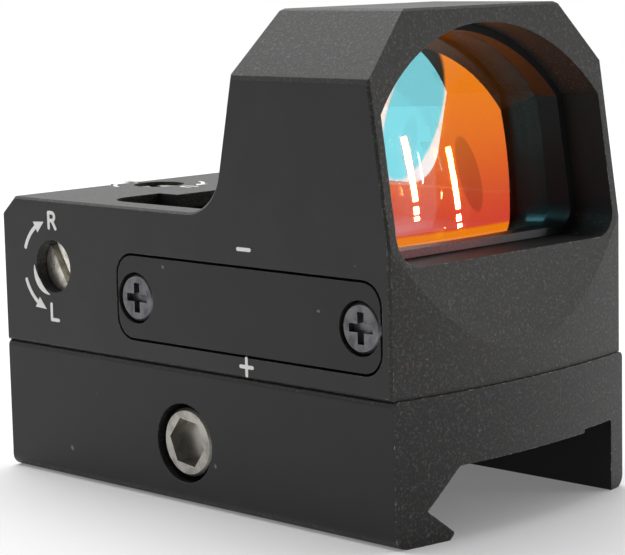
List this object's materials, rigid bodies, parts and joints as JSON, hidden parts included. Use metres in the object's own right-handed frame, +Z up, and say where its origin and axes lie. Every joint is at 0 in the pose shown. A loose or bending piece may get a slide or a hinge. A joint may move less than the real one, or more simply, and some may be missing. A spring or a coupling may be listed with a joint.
{
  "type": "reflex sight",
  "caption": "Open reflex sight: leaning window hood with a coated lens, low deck with adjusters, side battery drawer and a dovetail rail clamp.",
  "frame": {"origin": "centre of the sight's bounding box, at the height of the clamp's underside", "axes": "+Z up; -Y is the front, where the window faces the target, and the shooter looks from +Y towards -Y; -X is the side with the battery door and the clamp bolt"},
  "size_m": [0.027, 0.0463, 0.039],
  "materials": {
    "housing": "matt black anodised, bead blasted",
    "mount": "matt black anodised",
    "jaw": "matt black anodised",
    "door": "matt black anodised",
    "lens_ring": "black anodised",
    "lens": "orange-red reflecting dichroic coating",
    "clear_glass": "clear",
    "clamp_bolt": "zinc plated steel",
    "door_screw": "black oxide with worn rims",
    "steel": "plain steel",
    "spring_steel": "spring steel",
    "adjuster": "bright nickel plated",
    "brass": "turned brass",
    "nickel": "nickel plated contact strip",
    "rubber": "black rubber",
    "cover": "black plastic",
    "tray": "black glass filled nylon",
    "cell": "nickel plated can",
    "board": "green solder mask",
    "block": "machined, black",
    "emitter": "red clear epoxy"
  },
  "bodies": {
    "sight": {"mount_base": "mount", "body_screws": "steel", "locating_pins": "steel", "upper_housing": "housing", "bottom_cover": "cover", "cover_gasket": "rubber", "cover_screws": "steel", "lens_front_element": "lens", "lens_rear_element": "clear_glass", "lens_ring": "lens_ring", "lens_gasket": "rubber", "positive_contact": "nickel", "negative_contact": "nickel", "circuit_board": "board", "windage_o_ring": "rubber", "elevation_o_ring": "rubber", "windage_retainer": "spring_steel", "elevation_retainer": "spring_steel", "windage_spring": "spring_steel", "emitter_window": "clear_glass", "button_switch": "tray"},
    "clamp_jaw": {"clamp_jaw": "jaw"},
    "clamp_bolt": {"clamp_bolt": "clamp_bolt"},
    "drawer": {"battery_door": "door", "door_gasket": "rubber", "battery_tray": "tray", "coin_cell": "cell"},
    "front_door_screw": {"door_screw_front": "door_screw"},
    "rear_door_screw": {"door_screw_rear": "door_screw"},
    "windage_screw": {"windage_screw": "adjuster"},
    "windage_carriage": {"windage_carriage": "brass"},
    "elevation_screw": {"elevation_screw": "adjuster"},
    "elevation_nut": {"elevation_nut": "brass", "elevation_spring": "spring_steel"},
    "emitter": {"emitter_block": "block", "emitter_board": "board", "led_emitter": "emitter"},
    "power_button": {"power_button": "rubber"}
  },
  "joints": [
    {"name": "clamp_jaw_slide", "type": "slide", "parent": "sight", "child": "clamp_jaw", "axis": [1, 0, 0], "range_m": [0, 0.003]},
    {"name": "clamp_bolt_turn", "type": "hinge", "parent": "sight", "child": "clamp_bolt", "pos_m": [-0.0132, 0.0008, 0.00495], "axis": [1, 0, 0], "range_deg": [0, 2161]},
    {"name": "drawer_slide", "type": "slide", "parent": "sight", "child": "drawer", "axis": [-1, 0, 0], "range_m": [0, 0.026]},
    {"name": "front_door_screw_turn", "type": "hinge", "parent": "drawer", "child": "front_door_screw", "pos_m": [-0.0134, -0.0186, 0.0161], "axis": [-1, 0, 0], "continuous": true},
    {"name": "rear_door_screw_turn", "type": "hinge", "parent": "drawer", "child": "rear_door_screw", "pos_m": [-0.0134, 0.0061, 0.0161], "axis": [-1, 0, 0], "continuous": true},
    {"name": "windage_slide", "type": "slide", "parent": "sight", "child": "windage_carriage", "axis": [1, 0, 0], "range_m": [-0.00045, 0.00045], "deforming": ["windage_spring"]},
    {"name": "windage_turn", "type": "hinge", "parent": "sight", "child": "windage_screw", "pos_m": [-0.01245, 0.0165, 0.0178], "axis": [1, 0, 0], "range_deg": [-361, 361]},
    {"name": "elevation_nut_slide", "type": "slide", "parent": "sight", "child": "elevation_nut", "axis": [0, 0, 1], "range_m": [-0.00045, 0.00045], "deforming": ["elevation_spring"]},
    {"name": "elevation_turn", "type": "hinge", "parent": "sight", "child": "elevation_screw", "pos_m": [0, 0.0182, 0.0231], "axis": [0, 0, 1], "range_deg": [-361, 361]},
    {"name": "emitter_slide", "type": "slide", "parent": "windage_carriage", "child": "emitter", "axis": [0, 0, 1], "range_m": [-0.00045, 0.00045]},
    {"name": "power_button_press", "type": "slide", "parent": "sight", "child": "power_button", "axis": [-1, 0, 0], "range_m": [0, 0.0004], "stiffness_N_per_m": 2000}
  ],
  "couplings": [
    {"joint": "clamp_bolt_turn", "follows": "clamp_jaw_slide", "rad_per_m": 12566},
    {"joint": "windage_turn", "follows": "windage_slide", "rad_per_m": 13963},
    {"joint": "elevation_turn", "follows": "elevation_nut_slide", "rad_per_m": 13963},
    {"joint": "emitter_slide", "follows": "elevation_nut_slide", "ratio": 1}
  ]
}
